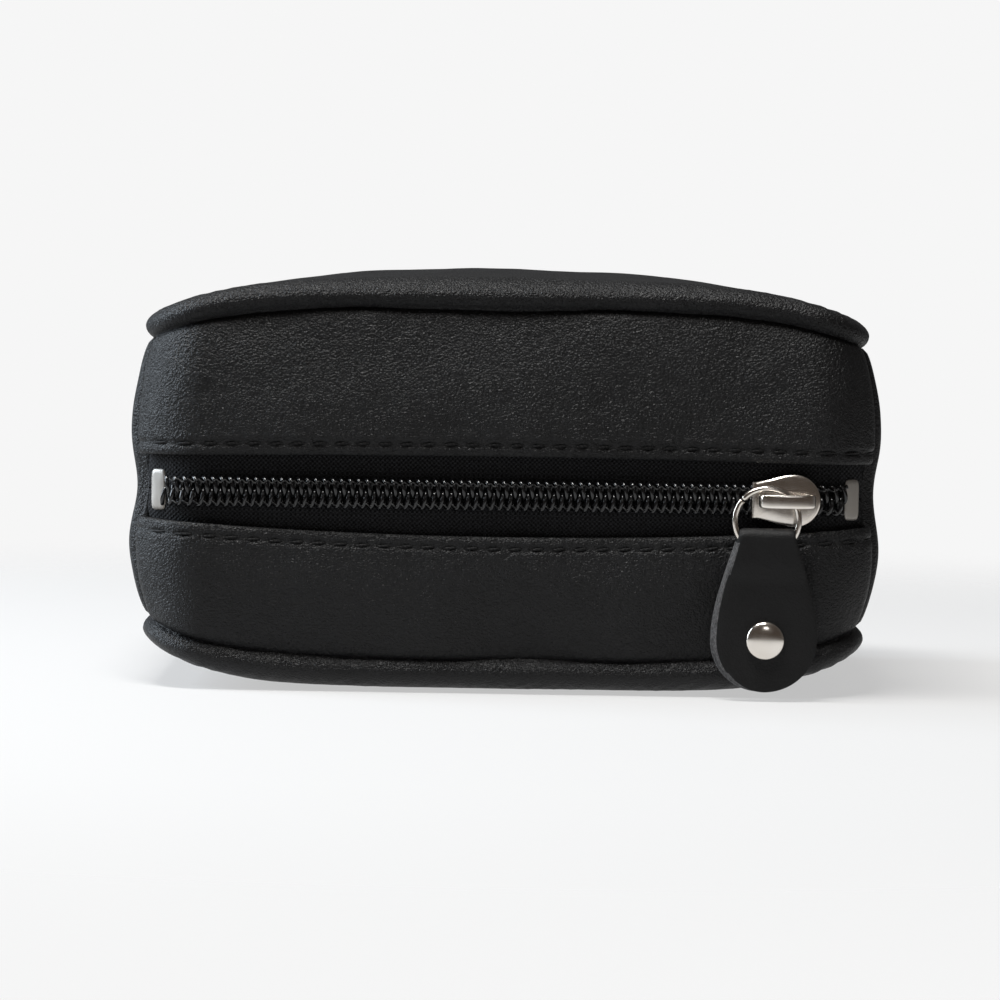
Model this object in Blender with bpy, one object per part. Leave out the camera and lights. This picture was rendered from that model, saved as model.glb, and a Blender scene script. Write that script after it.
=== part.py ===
"""Small boxed leather coin purse with a coil zip across its front.

Metres, +Z up. The zip faces -Y and runs along X. The origin is under the middle of the purse,
at the height of the flat patch that it rests on.
"""

from math import cos, exp, pi, radians, sin, sqrt

import bmesh
import bpy
from mathutils import Matrix, Vector

MM = 0.001
CLEAR = 0.3  # gap kept between neighbouring solids, mm

# Outline of the seams that join the walls to the top and bottom panels, mm
SEAM_HALF_X = 57.4
SEAM_HALF_Y = 34.0
SEAM_CORNER = 9.0
CENTRE_Y = 2.5  # moves the purse back, so that the pull's thickness is shared about the origin

# Heights, mm
BASE_SEAM_Z = 5.6
TOP_SEAM_Z = 62.4
ZIP_Z = 31.8
TOP_Z = 68.0
SEAM_DROOP = 6.4  # how far both seams close in on each other towards the short ends
WALL_BULGE = 2.8
ZIP_WAIST = 1.6

# Sheet goods, mm
LEATHER = 1.4
LINING = 0.4
LINING_GAP = 0.7  # the lining hangs a little slack inside the leather
TAPE = 0.6

# Zip, mm
MOUTH_HALF = 6.3  # from the zip's centre line to the edge of each leather strip
TAPE_HALF = 12.0
CHAIN_HALF = 2.9
CHAIN_LANE = 0.55  # half of the lane between the two coils, where the slider's post runs
COIL_HEIGHT = 2.1
STOP_ANGLE = 46.0  # how far round the corner the metal stops sit, degrees
CHAIN_ANGLE = 38.0
TAPE_ANGLE = 62.0
SIDE_SEAM_ANGLE = 74.0
STITCH_PITCH = 3.5
STITCH_LENGTH = 2.6
STITCH_OUT = 8.2  # from the zip's centre line to each row of stitches
THREAD_WIDTH = 0.5
THREAD_PROUD = 0.35
STOP_HEIGHT = 6.4
STOP_WIDTH = 1.9
STOP_METAL = 0.7

# Slider, mm
SLIDER_X = 45.0
SLIDER_HALF_LENGTH = 5.5
SLIDER_HEAD = 4.2
SLIDER_NECK = 2.9
PLATE = 0.8
POST_FROM = 0.6  # the post's two ends along the zip, from the slider's middle
POST_TO = 3.8
BRIDGE_HALF_WIDTH = 1.1
BRIDGE_WINDOW = 2.85
BRIDGE_THICK = 0.8
BRIDGE_REACH = 4.6  # from the slider's middle to each end of the bridge
BRIDGE_LEG = 0.9

# Ring and tab, mm
RING_RADIUS = 5.1
RING_WIRE = 0.5
RING_DROP = 3.1  # the ring's centre below the zip's centre line
TAB_LEAF = 0.9
TAB_EYE_HALF = 0.75
TAB_TOP_BELOW_ZIP = 4.3
TAB_NECK = 4.0
TAB_LOBE = 8.3
RIVET_BELOW_ZIP = 22.2
RIVET_CAP = 3.1
RIVET_POST = 1.2
RIVET_DOME = 1.1
RIVET_RIM = 0.3  # height of the cap's straight edge
RIVET_BACK = 2.6
RIVET_BACK_THICK = 0.55

# Where the layers of the zip lie, as y in mm
ZIP_FACE_Y = CENTRE_Y - SEAM_HALF_Y - (WALL_BULGE - ZIP_WAIST)
TAPE_FRONT_Y = ZIP_FACE_Y + LEATHER + CLEAR
COIL_FRONT_Y = TAPE_FRONT_Y - CLEAR - COIL_HEIGHT
FRONT_PLATE_Y = COIL_FRONT_Y - CLEAR
BACK_PLATE_Y = TAPE_FRONT_Y + TAPE + CLEAR
RING_Y = FRONT_PLATE_Y - PLATE - CLEAR - TAB_LEAF - TAB_EYE_HALF
RING_X = SLIDER_X - 3.2
RING_Z = ZIP_Z - RING_DROP


def clear_scene():
    for thing in list(bpy.data.objects):
        bpy.data.objects.remove(thing, do_unlink=True)


def material(name, colour, roughness, metallic=0.0):
    made = bpy.data.materials.new(name)
    made.use_nodes = True
    shader = made.node_tree.nodes["Principled BSDF"]
    shader.inputs["Base Color"].default_value = (*colour, 1.0)
    shader.inputs["Roughness"].default_value = roughness
    shader.inputs["Metallic"].default_value = metallic
    return made


def add_mesh(name, points, faces, finish):
    """One object from points in millimetres; its faces are turned to point outwards."""
    mesh = bpy.data.meshes.new(name)
    mesh.from_pydata([Vector(point) * MM for point in points], [], faces)
    work = bmesh.new()
    work.from_mesh(mesh)
    bmesh.ops.remove_doubles(work, verts=work.verts, dist=1e-6)
    bmesh.ops.recalc_face_normals(work, faces=work.faces)
    work.to_mesh(mesh)
    work.free()
    mesh.materials.append(finish)
    thing = bpy.data.objects.new(name, mesh)
    bpy.context.scene.collection.objects.link(thing)
    return thing


def smooth(thing, sharp_deg=35.0):
    thing.data.shade_smooth()
    thing.data.set_sharp_from_angle(angle=radians(sharp_deg))


def combine(thing, other, operation):
    """A Boolean with a helper object that isn't a node itself."""
    other.hide_render = True
    other.display_type = "WIRE"
    cut = thing.modifiers.new(operation.lower(), "BOOLEAN")
    cut.operation = operation
    cut.object = other


def set_pivot(thing, pivot):
    """Puts the object's origin on its joint's axis without moving the solid."""
    thing.data.transform(Matrix.Translation(-Vector(pivot) * MM))
    thing.location = Vector(pivot) * MM


# The purse's outline: a rectangle of corner centres, pushed out along the normal


def stations(start_deg, end_deg, arc_steps=4, long_steps=8, short_steps=4):
    """Points round the outline as (core x, core y, normal angle), anticlockwise.

    The angle is that of the outward normal. It stands still along a side, where the core moves.
    """
    half_x = SEAM_HALF_X - SEAM_CORNER
    half_y = SEAM_HALF_Y - SEAM_CORNER
    corners = {-2: (-1, -1), -1: (1, -1), 0: (1, 1), 1: (-1, 1), 2: (-1, -1)}
    found = []
    quarter = int(start_deg // 90)
    angle = start_deg
    while angle < end_deg:
        sx, sy = corners[quarter]
        stop = min((quarter + 1) * 90.0, end_deg)
        for step in range(arc_steps + 1):
            turned = angle + (stop - angle) * step / arc_steps
            found.append((sx * half_x, sy * half_y, radians(turned)))
        angle = stop
        if angle < end_deg:
            nx, ny = corners[quarter + 1]
            count = long_steps if nx != sx else short_steps
            for step in range(1, count):
                part = step / count
                x = half_x * (sx + (nx - sx) * part)
                y = half_y * (sy + (ny - sy) * part)
                found.append((x, y, radians(angle)))
        quarter += 1
    return found


def loop_stations(front_steps=8):
    """The whole outline, once round from the front's right corner."""
    found = stations(-90.0, 270.0)
    half_x = SEAM_HALF_X - SEAM_CORNER
    half_y = SEAM_HALF_Y - SEAM_CORNER
    shares = [2 * step / front_steps - 1 for step in range(1, front_steps)]
    return found + [(half_x * share, -half_y, radians(-90)) for share in shares]


def place(station, out, z):
    """A point a distance outside the seams' outline; well inside it, the corners' centres close in."""
    x, y, angle = station
    reach = max(SEAM_CORNER + out, 1.0)
    closer = reach - SEAM_CORNER - out
    x *= 1 - closer / (SEAM_HALF_X - SEAM_CORNER)
    y *= 1 - closer / (SEAM_HALF_Y - SEAM_CORNER)
    return (x + cos(angle) * reach, y + sin(angle) * reach + CENTRE_Y, z)


def droop(station):
    x = place(station, 0.0, 0.0)[0]
    return SEAM_DROOP * abs(x / SEAM_HALF_X) ** 5


def base_seam(station):
    return BASE_SEAM_Z + droop(station)


def top_seam(station):
    return TOP_SEAM_Z - droop(station)


def wall_out(station, z):
    """How far a wall's outer face stands outside the seams' outline at a height."""
    low = base_seam(station)
    part = min(max((z - low) / (top_seam(station) - low), 0.0), 1.0)
    return WALL_BULGE * sin(pi * part) ** 0.6 - ZIP_WAIST * exp(-(((z - ZIP_Z) / 7.0) ** 2))


def band(name, path, low, high, depth, thick, finish, rows=8):
    """A wall that follows a stretch of the outline, between two heights that may vary along it."""
    points = []
    for station in path:
        bottom = low(station)
        rise = high(station) - bottom
        heights = [bottom + rise * row / rows for row in range(rows + 1)]
        points += [place(station, wall_out(station, z) - depth, z) for z in heights]
        points += [place(station, wall_out(station, z) - depth - thick, z) for z in reversed(heights)]
    ring = 2 * (rows + 1)
    faces = []
    for column in range(len(path) - 1):
        for index in range(ring):
            after = (index + 1) % ring
            start = column * ring
            faces.append((start + index, start + after, start + ring + after, start + ring + index))
    last = (len(path) - 1) * ring
    for row in range(rows):
        mirror = ring - 1 - row
        faces.append((row, row + 1, mirror - 1, mirror))
        faces.append((last + row, last + row + 1, last + mirror - 1, last + mirror))
    thing = add_mesh(name, points, faces, finish)
    smooth(thing)
    return thing


def dish_section(station, rings, seam, level, up, layer):
    """The (out, z) points of a panel's section at one station, a layer's depth inside its outer face."""
    outer = []
    for out, rise, share in rings:
        edge = seam(station) + up * rise
        outer.append(Vector((out, edge + (level - edge) * share)))
    section = []
    for index, point in enumerate(outer):
        ahead = outer[min(index + 1, len(outer) - 1)]
        behind = outer[max(index - 1, 0)]
        along = (ahead - behind).normalized()
        inward = Vector((-along.y, along.x)) * up
        if index == 0:
            inward = Vector((-1.0, 0.0))
        if index == len(outer) - 1:
            inward = Vector((0.0, -up))
        section.append(tuple(point + inward * layer))
    return section


def dish(name, seam, level, up, depth, thick, finish):
    """A shallow pillow-edged panel: up is 1 for the top one and -1 for the base."""
    path = loop_stations()
    # Each ring: distance out from the seam, height off the seam, share of the way to the flat
    rings = [
        (-0.1, 0.15, 0.0),
        (1.1, 1.1, 0.0),
        (1.4, 2.2, 0.05),
        (0.0, 3.5, 0.2),
        (-4.0, 4.6, 0.45),
        (-9.5, 5.2, 0.8),
        (-15.0, 5.4, 1.0),
    ]
    points = []
    for layer in (depth, depth + thick):
        sections = [dish_section(station, rings, seam, level, up, layer) for station in path]
        for row in range(len(rings)):
            points += [place(station, *section[row]) for station, section in zip(path, sections)]
    count = len(path)
    layers = len(rings)
    faces = []
    for side in range(2):
        start = side * layers * count
        for row in range(layers - 1):
            for index in range(count):
                after = (index + 1) % count
                low = start + row * count
                faces.append((low + index, low + after, low + count + after, low + count + index))
        last = start + (layers - 1) * count
        faces.append(tuple(last + index for index in range(count)))
    for index in range(count):
        after = (index + 1) % count
        inner = layers * count
        faces.append((index, after, inner + after, inner + index))
    thing = add_mesh(name, points, faces, finish)
    smooth(thing)
    return thing


def front_path(angle, arc_steps=5):
    return stations(-90.0 - angle, -90.0 + angle, arc_steps=arc_steps)


def leather_body(leather):
    """Two panels, two zip strips and the gusset that makes the ends and the back."""
    under_top = lambda station: top_seam(station) - 0.15
    over_base = lambda station: base_seam(station) + 0.15
    dish("top_panel", top_seam, TOP_Z, 1, 0.0, LEATHER, leather)
    dish("bottom_panel", base_seam, 0.0, -1, 0.0, LEATHER, leather)
    front = front_path(SIDE_SEAM_ANGLE)
    mouth_top = lambda station: ZIP_Z + MOUTH_HALF
    mouth_base = lambda station: ZIP_Z - MOUTH_HALF
    band("zip_strip_upper", front, mouth_top, under_top, 0.0, LEATHER, leather)
    band("zip_strip_lower", front, over_base, mouth_base, 0.0, LEATHER, leather)
    back = stations(-90.0 + SIDE_SEAM_ANGLE + 2.4, 270.0 - SIDE_SEAM_ANGLE - 2.4)
    band("gusset", back, over_base, under_top, 0.0, LEATHER, leather)


def lining_body(cloth):
    """The bag of lining inside: two panels, the gusset's and one behind each zip strip."""
    inner = LEATHER + LINING_GAP
    front_inner = BACK_PLATE_Y - ZIP_FACE_Y + CLEAR
    dish("lining_top", top_seam, TOP_Z, 1, inner, LINING, cloth)
    dish("lining_bottom", base_seam, 0.0, -1, inner, LINING, cloth)
    low = lambda station: base_seam(station) + 2.6
    high = lambda station: top_seam(station) - 2.6
    back = stations(-90.0 + SIDE_SEAM_ANGLE + 8.0, 270.0 - SIDE_SEAM_ANGLE - 8.0)
    band("lining_gusset", back, low, high, inner, LINING, cloth, rows=7)
    front = front_path(SIDE_SEAM_ANGLE - 8.0)
    fold = STITCH_OUT + 0.8
    upper = lambda station: ZIP_Z + fold
    lower = lambda station: ZIP_Z - fold
    band("lining_front_upper", front, upper, high, front_inner, LINING, cloth, rows=5)
    band("lining_front_lower", front, low, lower, front_inner, LINING, cloth, rows=5)


def zip_half(side, tape_finish, coil_finish):
    """One tape and the coil sewn along its edge: side is 1 for the upper half, -1 for the lower."""
    name = "upper" if side > 0 else "lower"
    depth = TAPE_FRONT_Y - ZIP_FACE_Y
    coil_depth = COIL_FRONT_Y - ZIP_FACE_Y
    for prefix, angle, far, layer, thick, finish, rows in (
        ("zip_tape_", TAPE_ANGLE, TAPE_HALF, depth, TAPE, tape_finish, 5),
        ("zip_coil_", CHAIN_ANGLE, CHAIN_HALF, coil_depth, COIL_HEIGHT, coil_finish, 2),
    ):
        low, high = sorted((ZIP_Z + side * CHAIN_LANE, ZIP_Z + side * far))
        bottom = lambda station: low
        top = lambda station: high
        band(prefix + name, front_path(angle), bottom, top, layer, thick, finish, rows=rows)


def along_front(distance, out, z):
    """A point and its turn, a signed distance along the front's outline from its middle."""
    straight = SEAM_HALF_X - SEAM_CORNER
    reach = SEAM_CORNER + out
    past = max(abs(distance) - straight, 0.0) / SEAM_CORNER
    side = 1 if distance > 0 else -1
    x = side * (min(abs(distance), straight) + sin(past) * reach)
    y = CENTRE_Y - (SEAM_HALF_Y - SEAM_CORNER) - cos(past) * reach
    return Vector((x, y, z)), side * past


def thread_row(name, z, finish):
    """One row of stitching as its single thread, laid along the leather."""
    station = (0.0, 0.0, radians(-90.0))
    surface = wall_out(station, z) + CLEAR
    reach = SEAM_HALF_X - SEAM_CORNER + radians(SIDE_SEAM_ANGLE - 10.0) * SEAM_CORNER
    count = int(2 * reach / STITCH_PITCH)
    points = []
    half = THREAD_WIDTH / 2
    section = [(0.0, -half), (THREAD_PROUD, -half), (THREAD_PROUD, half), (0.0, half)]
    for index in range(count + 1):
        middle = (index - count / 2) * STITCH_PITCH
        for distance in (middle - STITCH_LENGTH / 2, middle + STITCH_LENGTH / 2):
            points += [along_front(distance, surface + proud, z + dz)[0] for proud, dz in section]
    rows = len(points) // 4
    faces = [(0, 1, 2, 3), tuple(range(4 * rows - 4, 4 * rows))]
    for row in range(rows - 1):
        low = 4 * row
        faces += [(low + i, low + (i + 1) % 4, low + 4 + (i + 1) % 4, low + 4 + i) for i in range(4)]
    add_mesh(name, points, faces, finish)


def stop(name, side, finish):
    """A crimped metal stop over the chain's end: a face with a leg at each end, bent back."""
    leg = COIL_HEIGHT + 0.4
    distance = SEAM_HALF_X - SEAM_CORNER + radians(STOP_ANGLE) * SEAM_CORNER
    back_out = -(TAPE_FRONT_Y - ZIP_FACE_Y) + CLEAR + WALL_BULGE - ZIP_WAIST
    profile = [
        (0.0, STOP_HEIGHT / 2),
        (-leg, STOP_HEIGHT / 2),
        (-leg, -STOP_HEIGHT / 2),
        (0.0, -STOP_HEIGHT / 2),
        (0.0, STOP_METAL - STOP_HEIGHT / 2),
        (STOP_METAL - leg, STOP_METAL - STOP_HEIGHT / 2),
        (STOP_METAL - leg, STOP_HEIGHT / 2 - STOP_METAL),
        (0.0, STOP_HEIGHT / 2 - STOP_METAL),
    ]
    centre, turn = along_front(side * distance, back_out, ZIP_Z)
    spin = Matrix.Rotation(turn, 3, "Z")
    points = []
    for dx in (-STOP_WIDTH / 2, STOP_WIDTH / 2):
        points += [centre + spin @ Vector((dx, y, z)) for y, z in profile]
    count = len(profile)
    faces = [(i, (i + 1) % count, count + (i + 1) % count, count + i) for i in range(count)]
    faces += [tuple(range(count)), tuple(range(count, 2 * count))]
    add_mesh(name, points, faces, finish)


def slider_outline():
    """Half-widths of a slider plate from its neck to its round head, as (x, z) all the way round."""
    head_x = SLIDER_HALF_LENGTH - SLIDER_HEAD
    steps = 6
    upper = []
    for step in range(steps):
        part = step / steps
        x = -SLIDER_HALF_LENGTH + (head_x + SLIDER_HALF_LENGTH) * part
        ease = part * part * (3 - 2 * part)
        upper.append((x, SLIDER_NECK + (SLIDER_HEAD - SLIDER_NECK) * ease))
    for step in range(9):
        angle = pi / 2 - pi / 2 * step / 8
        upper.append((head_x + SLIDER_HEAD * cos(angle), SLIDER_HEAD * sin(angle)))
    lower = [(x, -z) for x, z in reversed(upper[:-1])]
    return upper + lower


def extrude_y(name, outline, near, far, finish):
    """A plate: an outline in X and Z, filled between two values of y."""
    count = len(outline)
    points = [(x, near, z) for x, z in outline] + [(x, far, z) for x, z in outline]
    faces = [(i, (i + 1) % count, count + (i + 1) % count, count + i) for i in range(count)]
    faces += [tuple(range(count)), tuple(range(count, 2 * count))]
    return add_mesh(name, points, faces, finish)


def slider_body(nickel):
    """Front and back plates held together by one narrow post between the coils."""
    outline = [(x + SLIDER_X, z + ZIP_Z) for x, z in slider_outline()]
    body = extrude_y("slider_body", outline, FRONT_PLATE_Y - PLATE, FRONT_PLATE_Y, nickel)
    rear = extrude_y("rear_plate", outline, BACK_PLATE_Y, BACK_PLATE_Y + PLATE, nickel)
    half = CHAIN_LANE - CLEAR
    post = [(POST_FROM, -half), (POST_TO, -half), (POST_TO, half), (POST_FROM, half)]
    post = [(x + SLIDER_X, z + ZIP_Z) for x, z in post]
    post = extrude_y("post", post, FRONT_PLATE_Y - PLATE / 2, BACK_PLATE_Y + PLATE / 2, nickel)
    combine(body, post, "UNION")
    combine(body, rear, "UNION")


def slider_bridge(nickel):
    """The low arch over the front plate that the ring passes under, as a side outline."""
    foot = FRONT_PLATE_Y - PLATE - CLEAR
    inner = FRONT_PLATE_Y - PLATE - BRIDGE_WINDOW
    half = [(BRIDGE_REACH, foot), (BRIDGE_REACH, inner)]
    for angle in (pi / 6, pi / 3, pi / 2):
        half.append((BRIDGE_REACH - BRIDGE_THICK * (1 - cos(angle)), inner - BRIDGE_THICK * sin(angle)))
    outline = [(-x, y) for x, y in half] + half[::-1]
    window = BRIDGE_REACH - BRIDGE_LEG
    outline += [(window, foot), (window, inner), (-window, inner), (-window, foot)]
    count = len(outline)
    points = []
    for dz in (-BRIDGE_HALF_WIDTH, BRIDGE_HALF_WIDTH):
        points += [(x + SLIDER_X, y, ZIP_Z + dz) for x, y in outline]
    faces = [(i, (i + 1) % count, count + (i + 1) % count, count + i) for i in range(count)]
    faces += [tuple(range(count)), tuple(range(count, 2 * count))]
    add_mesh("slider_bridge", points, faces, nickel)


def ring_crossing():
    """Where the ring's wire passes under the bridge."""
    run = sqrt(RING_RADIUS**2 - RING_DROP**2)
    return (RING_X + run, RING_Y, ZIP_Z)


def pull_ring(nickel):
    around = 36
    section = 10
    points = []
    for index in range(around):
        turn = 2 * pi * index / around
        for side in range(section):
            angle = 2 * pi * side / section
            reach = RING_RADIUS + RING_WIRE * cos(angle)
            y = RING_Y + RING_WIRE * sin(angle)
            points.append((RING_X + reach * cos(turn), y, RING_Z + reach * sin(turn)))
    faces = []
    for index in range(around):
        for side in range(section):
            a = index * section + side
            b = index * section + (side + 1) % section
            c = (index + 1) % around * section + (side + 1) % section
            d = (index + 1) % around * section + side
            faces.append((a, b, c, d))
    ring = add_mesh("pull_ring", points, faces, nickel)
    smooth(ring)
    set_pivot(ring, ring_crossing())


def tab_half_width(z):
    """Half-width of the tab: narrow where it folds over the ring, round at the rivet."""
    top = ZIP_Z - TAB_TOP_BELOW_ZIP
    lobe_z = ZIP_Z - RIVET_BELOW_ZIP
    if z >= lobe_z:
        part = (top - z) / (top - lobe_z)
        return TAB_NECK + (TAB_LOBE - TAB_NECK) * sin(pi / 2 * part) ** 1.2
    return sqrt(max(TAB_LOBE**2 - (lobe_z - z) ** 2, 0.0))


def tab_half_thickness(z):
    """Two leaves, pressed together below the ring and spread round its wire."""
    pressed = TAB_LEAF + 0.1
    spread = TAB_LEAF + TAB_EYE_HALF
    eye = ZIP_Z - RING_DROP - RING_RADIUS
    part = min(max((z - eye + 5.0) / 4.0, 0.0), 1.0)
    return pressed + (spread - pressed) * part * part * (3 - 2 * part)


def tab_slice(z, shrink=0.0):
    """An eight-sided slice of the tab at a height, its edges eased."""
    wide = max(tab_half_width(z) - shrink, 0.5)
    thick = tab_half_thickness(z) - shrink
    ease = 0.3
    corners = [
        (-wide, ease - thick),
        (ease - wide, -thick),
        (wide - ease, -thick),
        (wide, ease - thick),
        (wide, thick - ease),
        (wide - ease, thick),
        (ease - wide, thick),
        (-wide, thick - ease),
    ]
    return [(RING_X + x, RING_Y + y, z) for x, y in corners]


def pull_tab(leather):
    """One strap folded over the ring, with an eye for the wire and a hole for the rivet."""
    top = ZIP_Z - TAB_TOP_BELOW_ZIP
    lobe_z = ZIP_Z - RIVET_BELOW_ZIP
    levels = [top - (top - lobe_z) * step / 12 for step in range(13)]
    levels += [lobe_z - TAB_LOBE * sin(pi / 2 * step / 8) for step in range(1, 8)]
    levels.append(lobe_z - TAB_LOBE * 0.998)
    levels.insert(1, top - 0.35)
    points = []
    for index, z in enumerate(levels):
        points += tab_slice(z, shrink=0.35 if index == 0 else 0.0)
    faces = [tuple(range(8))]
    for row in range(len(levels) - 1):
        for index in range(8):
            after = (index + 1) % 8
            low = row * 8
            faces.append((low + index, low + after, low + 8 + after, low + 8 + index))
    last = (len(levels) - 1) * 8
    faces.append(tuple(last + index for index in range(8)))
    tab = add_mesh("pull_tab", points, faces, leather)
    wire_low = ZIP_Z - RING_DROP - RING_RADIUS - RING_WIRE - CLEAR
    wire_high = top - TAB_LEAF
    wide = TAB_NECK + 4.0
    eye = [(-wide, wire_low), (wide, wire_low), (wide, wire_high), (-wide, wire_high)]
    eye = [(RING_X + x, z) for x, z in eye]
    eye = extrude_y("eye_cut", eye, RING_Y - TAB_EYE_HALF, RING_Y + TAB_EYE_HALF, leather)
    hole_r = RIVET_POST + CLEAR
    turns = [2 * pi * step / 16 for step in range(16)]
    hole = [(RING_X + hole_r * cos(turn), lobe_z + hole_r * sin(turn)) for turn in turns]
    hole = extrude_y("rivet_cut", hole, RING_Y - 4.0, RING_Y + 4.0, leather)
    combine(tab, eye, "DIFFERENCE")
    combine(tab, hole, "DIFFERENCE")
    pivot = (RING_X, RING_Y, RING_Z)
    set_pivot(tab, pivot)
    return pivot


def turned_y(name, profile, x, z, finish, sides=24):
    """A turned solid about a line along Y: the profile is (radius, y) from axis to axis."""
    points = [(x, profile[0][1], z)]
    rings = profile[1:-1]
    for radius, y in rings:
        for side in range(sides):
            angle = 2 * pi * side / sides
            points.append((x + radius * cos(angle), y, z + radius * sin(angle)))
    points.append((x, profile[-1][1], z))
    faces = []
    for side in range(sides):
        after = (side + 1) % sides
        faces.append((0, 1 + side, 1 + after))
        for row in range(len(rings) - 1):
            low = 1 + row * sides
            faces.append((low + side, low + after, low + sides + after, low + sides + side))
        last = 1 + (len(rings) - 1) * sides
        faces.append((len(points) - 1, last + after, last + side))
    thing = add_mesh(name, points, faces, finish)
    smooth(thing)
    return thing


def rivet(nickel, pivot):
    """A domed cap with its post in front, and the flat cap that closes it behind."""
    lobe_z = ZIP_Z - RIVET_BELOW_ZIP
    half = tab_half_thickness(lobe_z)
    seat = RING_Y - half - CLEAR
    rim = seat - RIVET_RIM
    profile = [(0.0, seat - RIVET_DOME)]
    for step in range(1, 6):
        angle = pi / 2 * step / 6
        profile.append((RIVET_CAP * sin(angle), rim - (RIVET_DOME - RIVET_RIM) * cos(angle)))
    profile += [(RIVET_CAP, rim), (RIVET_CAP, seat), (RIVET_POST, seat)]
    profile += [(RIVET_POST, RING_Y + half), (0.0, RING_Y + half)]
    cap = turned_y("rivet_cap", profile, RING_X, lobe_z, nickel)
    back = RING_Y + half + CLEAR
    far = back + RIVET_BACK_THICK
    flat = [(0.0, back), (RIVET_BACK, back), (RIVET_BACK, back + 0.3), (RIVET_BACK - 0.4, far), (0.0, far)]
    rear = turned_y("rivet_back", flat, RING_X, lobe_z, nickel)
    set_pivot(cap, pivot)
    set_pivot(rear, pivot)


def main():
    clear_scene()
    leather = material("black_leather", (0.018, 0.018, 0.02), 0.5)
    tab_leather = material("tab_leather", (0.015, 0.015, 0.016), 0.6)
    lining = material("lining_cloth", (0.03, 0.03, 0.033), 0.85)
    tape = material("zip_tape", (0.012, 0.012, 0.013), 0.9)
    coil = material("zip_coil", (0.01, 0.01, 0.011), 0.35)
    thread = material("thread", (0.012, 0.012, 0.013), 0.6)
    nickel = material("nickel", (0.78, 0.75, 0.71), 0.18, 1.0)
    leather_body(leather)
    lining_body(lining)
    zip_half(1, tape, coil)
    zip_half(-1, tape, coil)
    thread_row("thread_upper", ZIP_Z + STITCH_OUT, thread)
    thread_row("thread_lower", ZIP_Z - STITCH_OUT, thread)
    stop("stop_left", -1, nickel)
    stop("stop_right", 1, nickel)
    slider_body(nickel)
    slider_bridge(nickel)
    pull_ring(nickel)
    pivot = pull_tab(tab_leather)
    rivet(nickel, pivot)


main()
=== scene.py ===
"""Looks of the leather coin purse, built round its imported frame.

Places and sizes are in millimetres until add_mesh. Lights, camera and materials are in metres.
The zip faces -Y and runs along X.
"""

from math import cos, exp, pi, radians, sin, sqrt, tanh

import bmesh
import bpy
from mathutils import Matrix, Vector, noise


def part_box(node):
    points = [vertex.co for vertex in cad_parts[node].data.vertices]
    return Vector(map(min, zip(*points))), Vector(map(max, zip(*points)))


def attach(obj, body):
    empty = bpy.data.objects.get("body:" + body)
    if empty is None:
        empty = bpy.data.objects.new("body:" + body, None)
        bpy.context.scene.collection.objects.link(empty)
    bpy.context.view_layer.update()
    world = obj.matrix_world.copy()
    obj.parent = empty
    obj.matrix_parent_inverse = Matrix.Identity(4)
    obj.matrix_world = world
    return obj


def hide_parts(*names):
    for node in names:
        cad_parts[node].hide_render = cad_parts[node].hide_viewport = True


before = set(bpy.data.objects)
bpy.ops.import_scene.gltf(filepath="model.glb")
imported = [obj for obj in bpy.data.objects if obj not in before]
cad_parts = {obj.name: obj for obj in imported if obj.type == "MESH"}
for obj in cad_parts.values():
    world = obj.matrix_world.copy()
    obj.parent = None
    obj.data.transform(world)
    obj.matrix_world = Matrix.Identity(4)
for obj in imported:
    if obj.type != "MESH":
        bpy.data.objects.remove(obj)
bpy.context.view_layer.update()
MM = 0.001
UP = Vector((0.0, 0.0, 1.0))


def box_mm(node):
    """A CAD node's low and high corners."""
    low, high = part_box(node)
    return low / MM, high / MM


# Driving dimensions, read from the frame
PANEL_LOW, PANEL_HIGH = box_mm("top_panel")
COIL_LOW = box_mm("zip_coil_upper")[0]
LOWER_COIL_TOP = box_mm("zip_coil_lower")[1].z
TAPE_Y = box_mm("zip_tape_upper")[0].y
MOUTH_TOP = box_mm("zip_strip_upper")[0].z
SLIDER_LOW, SLIDER_HIGH = box_mm("slider_body")
BRIDGE_LOW, BRIDGE_HIGH = box_mm("slider_bridge")
RING_LOW, RING_HIGH = box_mm("pull_ring")
TAB_LOW, TAB_HIGH = box_mm("pull_tab")
CAP_LOW, CAP_HIGH = box_mm("rivet_cap")

ZIP_Z = (COIL_LOW.z + LOWER_COIL_TOP) / 2
CENTRE_Y = (PANEL_LOW.y + PANEL_HIGH.y) / 2
ROLL = 1.4  # how far the panels' rolled edges stand outside the seams
HALF_X = PANEL_HIGH.x - ROLL
HALF_Y = (PANEL_HIGH.y - PANEL_LOW.y) / 2 - ROLL
TOP_Z = PANEL_HIGH.z
MOUTH_MIDDLE = MOUTH_TOP - ZIP_Z  # half of the gap between the strips, at its widest

# The leather
CORNER = 9.0  # radius of the seams' corners
STRAIGHT = HALF_X - CORNER  # half of the front's straight length
TOP_SEAM = TOP_Z - 6.3
BASE_SEAM = 5.2
DROOP = 5.6  # how far each seam closes in on the other at the short ends
BULGE = 3.0
WAIST = 1.8
LEATHER = 1.3
SIDE_SEAM = 74.0  # how far round the corners the zip strips end, degrees
SEAM_GAP = 0.6  # between a strip's end and the band round the back, degrees
RIM_OUT = 1.35  # how far a panel's rim stands outside its seam
STITCH_IN = 1.9  # from each strip's edge to its row of stitches
STITCH_PITCH = 3.5
STITCH_LENGTH = 3.0

# The zip
TAPE_ANGLE = 72.5  # how far round the corners the tapes reach, degrees
TAPE_IN = 0.15  # from the zip's centre line to each tape
TAPE_WIDTH = 11.6
TAPE_THICK = 0.5
CHAIN_ANGLE = 39.0
CHAIN_PITCH = 1.37
STOP_ANGLE = 47.0
WIRE = 0.5  # radius of the ring's wire

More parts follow.
